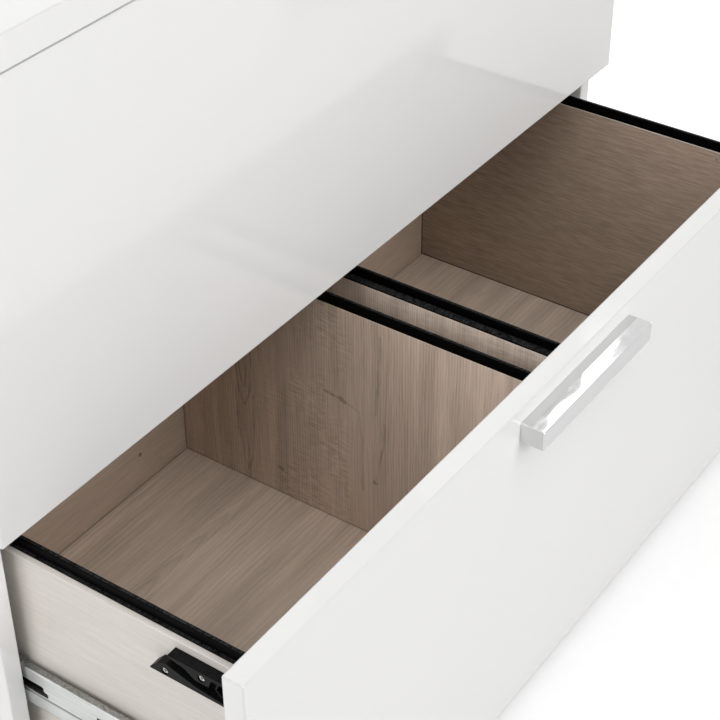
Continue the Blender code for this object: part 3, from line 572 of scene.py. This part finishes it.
def cross_screw(name, node, body, bright, recess_shade):
    """A pan-headed screw with a cross recess, in place of the plain CAD screw."""
    low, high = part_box(node)
    centre = (low + high) / 2.0
    radius = (high.y - low.y) / 2.0
    half = SCREW_SLOT * radius
    corners = [(SCREW_ARM * radius, -half), (SCREW_ARM * radius, half), (half, half)]
    loop = []
    for turn in range(4):
        for y, z in corners:
            for _ in range(turn):
                y, z = -z, y
            loop.append((y, z))
    cross = []
    for (y, z), (next_y, next_z) in zip(loop, loop[1:] + loop[:1]):
        cross += [(y, z), ((y + next_y) / 2.0, (z + next_z) / 2.0)]
    bearings = [math.atan2(z, y) for y, z in cross]

    bm = bmesh.new()

    def ring(points, depth):
        return [bm.verts.new((low.x + depth, centre.y + y, centre.z + z)) for y, z in points]

    def circle(share, depth):
        return ring([(math.cos(b) * radius * share, math.sin(b) * radius * share) for b in bearings], depth)

    rings = [ring([(y * SCREW_TAPER, z * SCREW_TAPER) for y, z in cross], SCREW_RECESS * radius),
             ring(cross, 0.0)]
    length = high.x - low.x
    for share, depth in SCREW_PROFILE:
        rings.append(circle(share, length if depth is None else depth * radius))
    count = len(cross)
    for inner, outer in zip(rings, rings[1:]):
        for i in range(count):
            face = bm.faces.new((inner[i], outer[i], outer[(i + 1) % count], inner[(i + 1) % count]))
            # Recess faces take the dark steel: painted shade in the hollow.
            face.material_index = int(inner is rings[0])
            face.smooth = inner is not rings[0]
    floor = bm.faces.new(rings[0])
    floor.material_index = 1
    bm.faces.new(rings[-1])
    bmesh.ops.recalc_face_normals(bm, faces=bm.faces)
    mesh = bpy.data.meshes.new(name)
    bm.to_mesh(mesh)
    bm.free()
    mesh.materials.append(bright)
    mesh.materials.append(recess_shade)
    piece = bpy.data.objects.new(name, mesh)
    bpy.context.scene.collection.objects.link(piece)
    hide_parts(node)
    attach(piece, body)


def add_camera():
    """The camera at the photograph's view."""
    data = bpy.data.cameras.new("camera")
    data.sensor_width = SENSOR
    data.sensor_fit = "HORIZONTAL"
    data.lens = LENS
    camera = bpy.data.objects.new("camera", data)
    turn = Matrix((CAMERA_RIGHT, CAMERA_UP, CAMERA_BACK)).transposed().to_4x4()
    camera.matrix_world = Matrix.Translation(CAMERA_PLACE) @ turn
    bpy.context.scene.collection.objects.link(camera)
    bpy.context.scene.camera = camera


def add_lamp(name, place, aim, size, power):
    """A soft rectangular lamp that points at a place."""
    data = bpy.data.lights.new(name, "AREA")
    data.shape = "RECTANGLE"
    data.size, data.size_y = size
    data.energy = power
    lamp = bpy.data.objects.new(name, data)
    lamp.location = place
    lamp.rotation_euler = (Vector(aim) - Vector(place)).to_track_quat("-Z", "Y").to_euler()
    bpy.context.scene.collection.objects.link(lamp)


def seen_directly(tree):
    """1 for rays from the camera or a mirror-like surface, 0 for rays that carry light."""
    path = tree.nodes.new("ShaderNodeLightPath")
    total = path.outputs["Is Camera Ray"]
    for key in ("Is Glossy Ray", "Is Transmission Ray"):
        added = tree.nodes.new("ShaderNodeMath")
        added.operation = "MAXIMUM"
        tree.links.new(total, added.inputs[0])
        tree.links.new(path.outputs[key], added.inputs[1])
        total = added.outputs[0]
    return total


def add_world(level):
    """Even studio light, and a white surround where it is looked at."""
    world = bpy.data.worlds.new("studio")
    world.use_nodes = True
    bpy.context.scene.world = world
    tree = world.node_tree
    strength = tree.nodes.new("ShaderNodeMapRange")
    strength.inputs["To Min"].default_value = level
    strength.inputs["To Max"].default_value = 1.0
    tree.links.new(seen_directly(tree), strength.inputs["Value"])
    shade = tree.nodes["Background"]
    shade.inputs["Color"].default_value = (1.0, 1.0, 1.0, 1.0)
    tree.links.new(strength.outputs[0], shade.inputs["Strength"])


def add_floor():
    """A plain pale floor that keeps the cabinet's shadow in front and glows where it is looked at, most
    behind the cabinet and far off: painted light that whitens the shadow there.
    """
    mesh = bpy.data.meshes.new("floor")
    corners = [(x * FLOOR_HALF, y * FLOOR_HALF, 0.0) for x, y in ((-1, -1), (1, -1), (1, 1), (-1, 1))]
    mesh.from_pydata(corners, [], [(0, 1, 2, 3)])
    floor = bpy.data.objects.new("floor", mesh)
    bpy.context.scene.collection.objects.link(floor)
    graph = Graph("studio_floor")
    grain = graph.noise((0.02, 0.02, 0.02), detail=3.0)
    # More glow behind the cabinet and far off: painted light over the cabinet's shadow there.
    glow = graph.spread(graph.split(graph.place)[Y], *FLOOR_GLOW_Y, *FLOOR_GLOW, smooth=True)
    reach = graph.node("ShaderNodeVectorMath", operation="LENGTH")
    graph.feed(reach.inputs[0], graph.place)
    far = graph.spread(reach.outputs["Value"], *FAR_GLOW_REACH, *FAR_GLOW, smooth=True)
    glow = graph.math("MAXIMUM", glow, far)
    graph.bump(grain, 0.0002, 0.1)
    graph.set(
        Base_Color=graph.blend(grain, grey(FLOOR_TONE - 2), grey(FLOOR_TONE + 2)),
        Roughness=0.8,
        Specular_IOR_Level=0.1,
        Emission_Color=(1.0, 1.0, 1.0, 1.0),
        Emission_Strength=graph.math("MULTIPLY", seen_directly(graph.tree), glow),
    )
    mesh.materials.append(graph.material)


def main():
    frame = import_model()
    bpy.context.scene.view_settings.view_transform = "Standard"
    add_camera()
    add_world(WORLD_LIGHT)
    add_floor()
    for lamp in LAMPS:
        add_lamp(*lamp)
    finishes = dress(frame["nodes"])
    recess_shade = recess_shade_steel()
    for level in LEVELS:
        for end in ("front", "rear"):
            name = level + "_" + end + "_striker_screw"
            cross_screw(name + "_head", name, level + "_drawer", finishes["bright_steel"], recess_shade)


main()
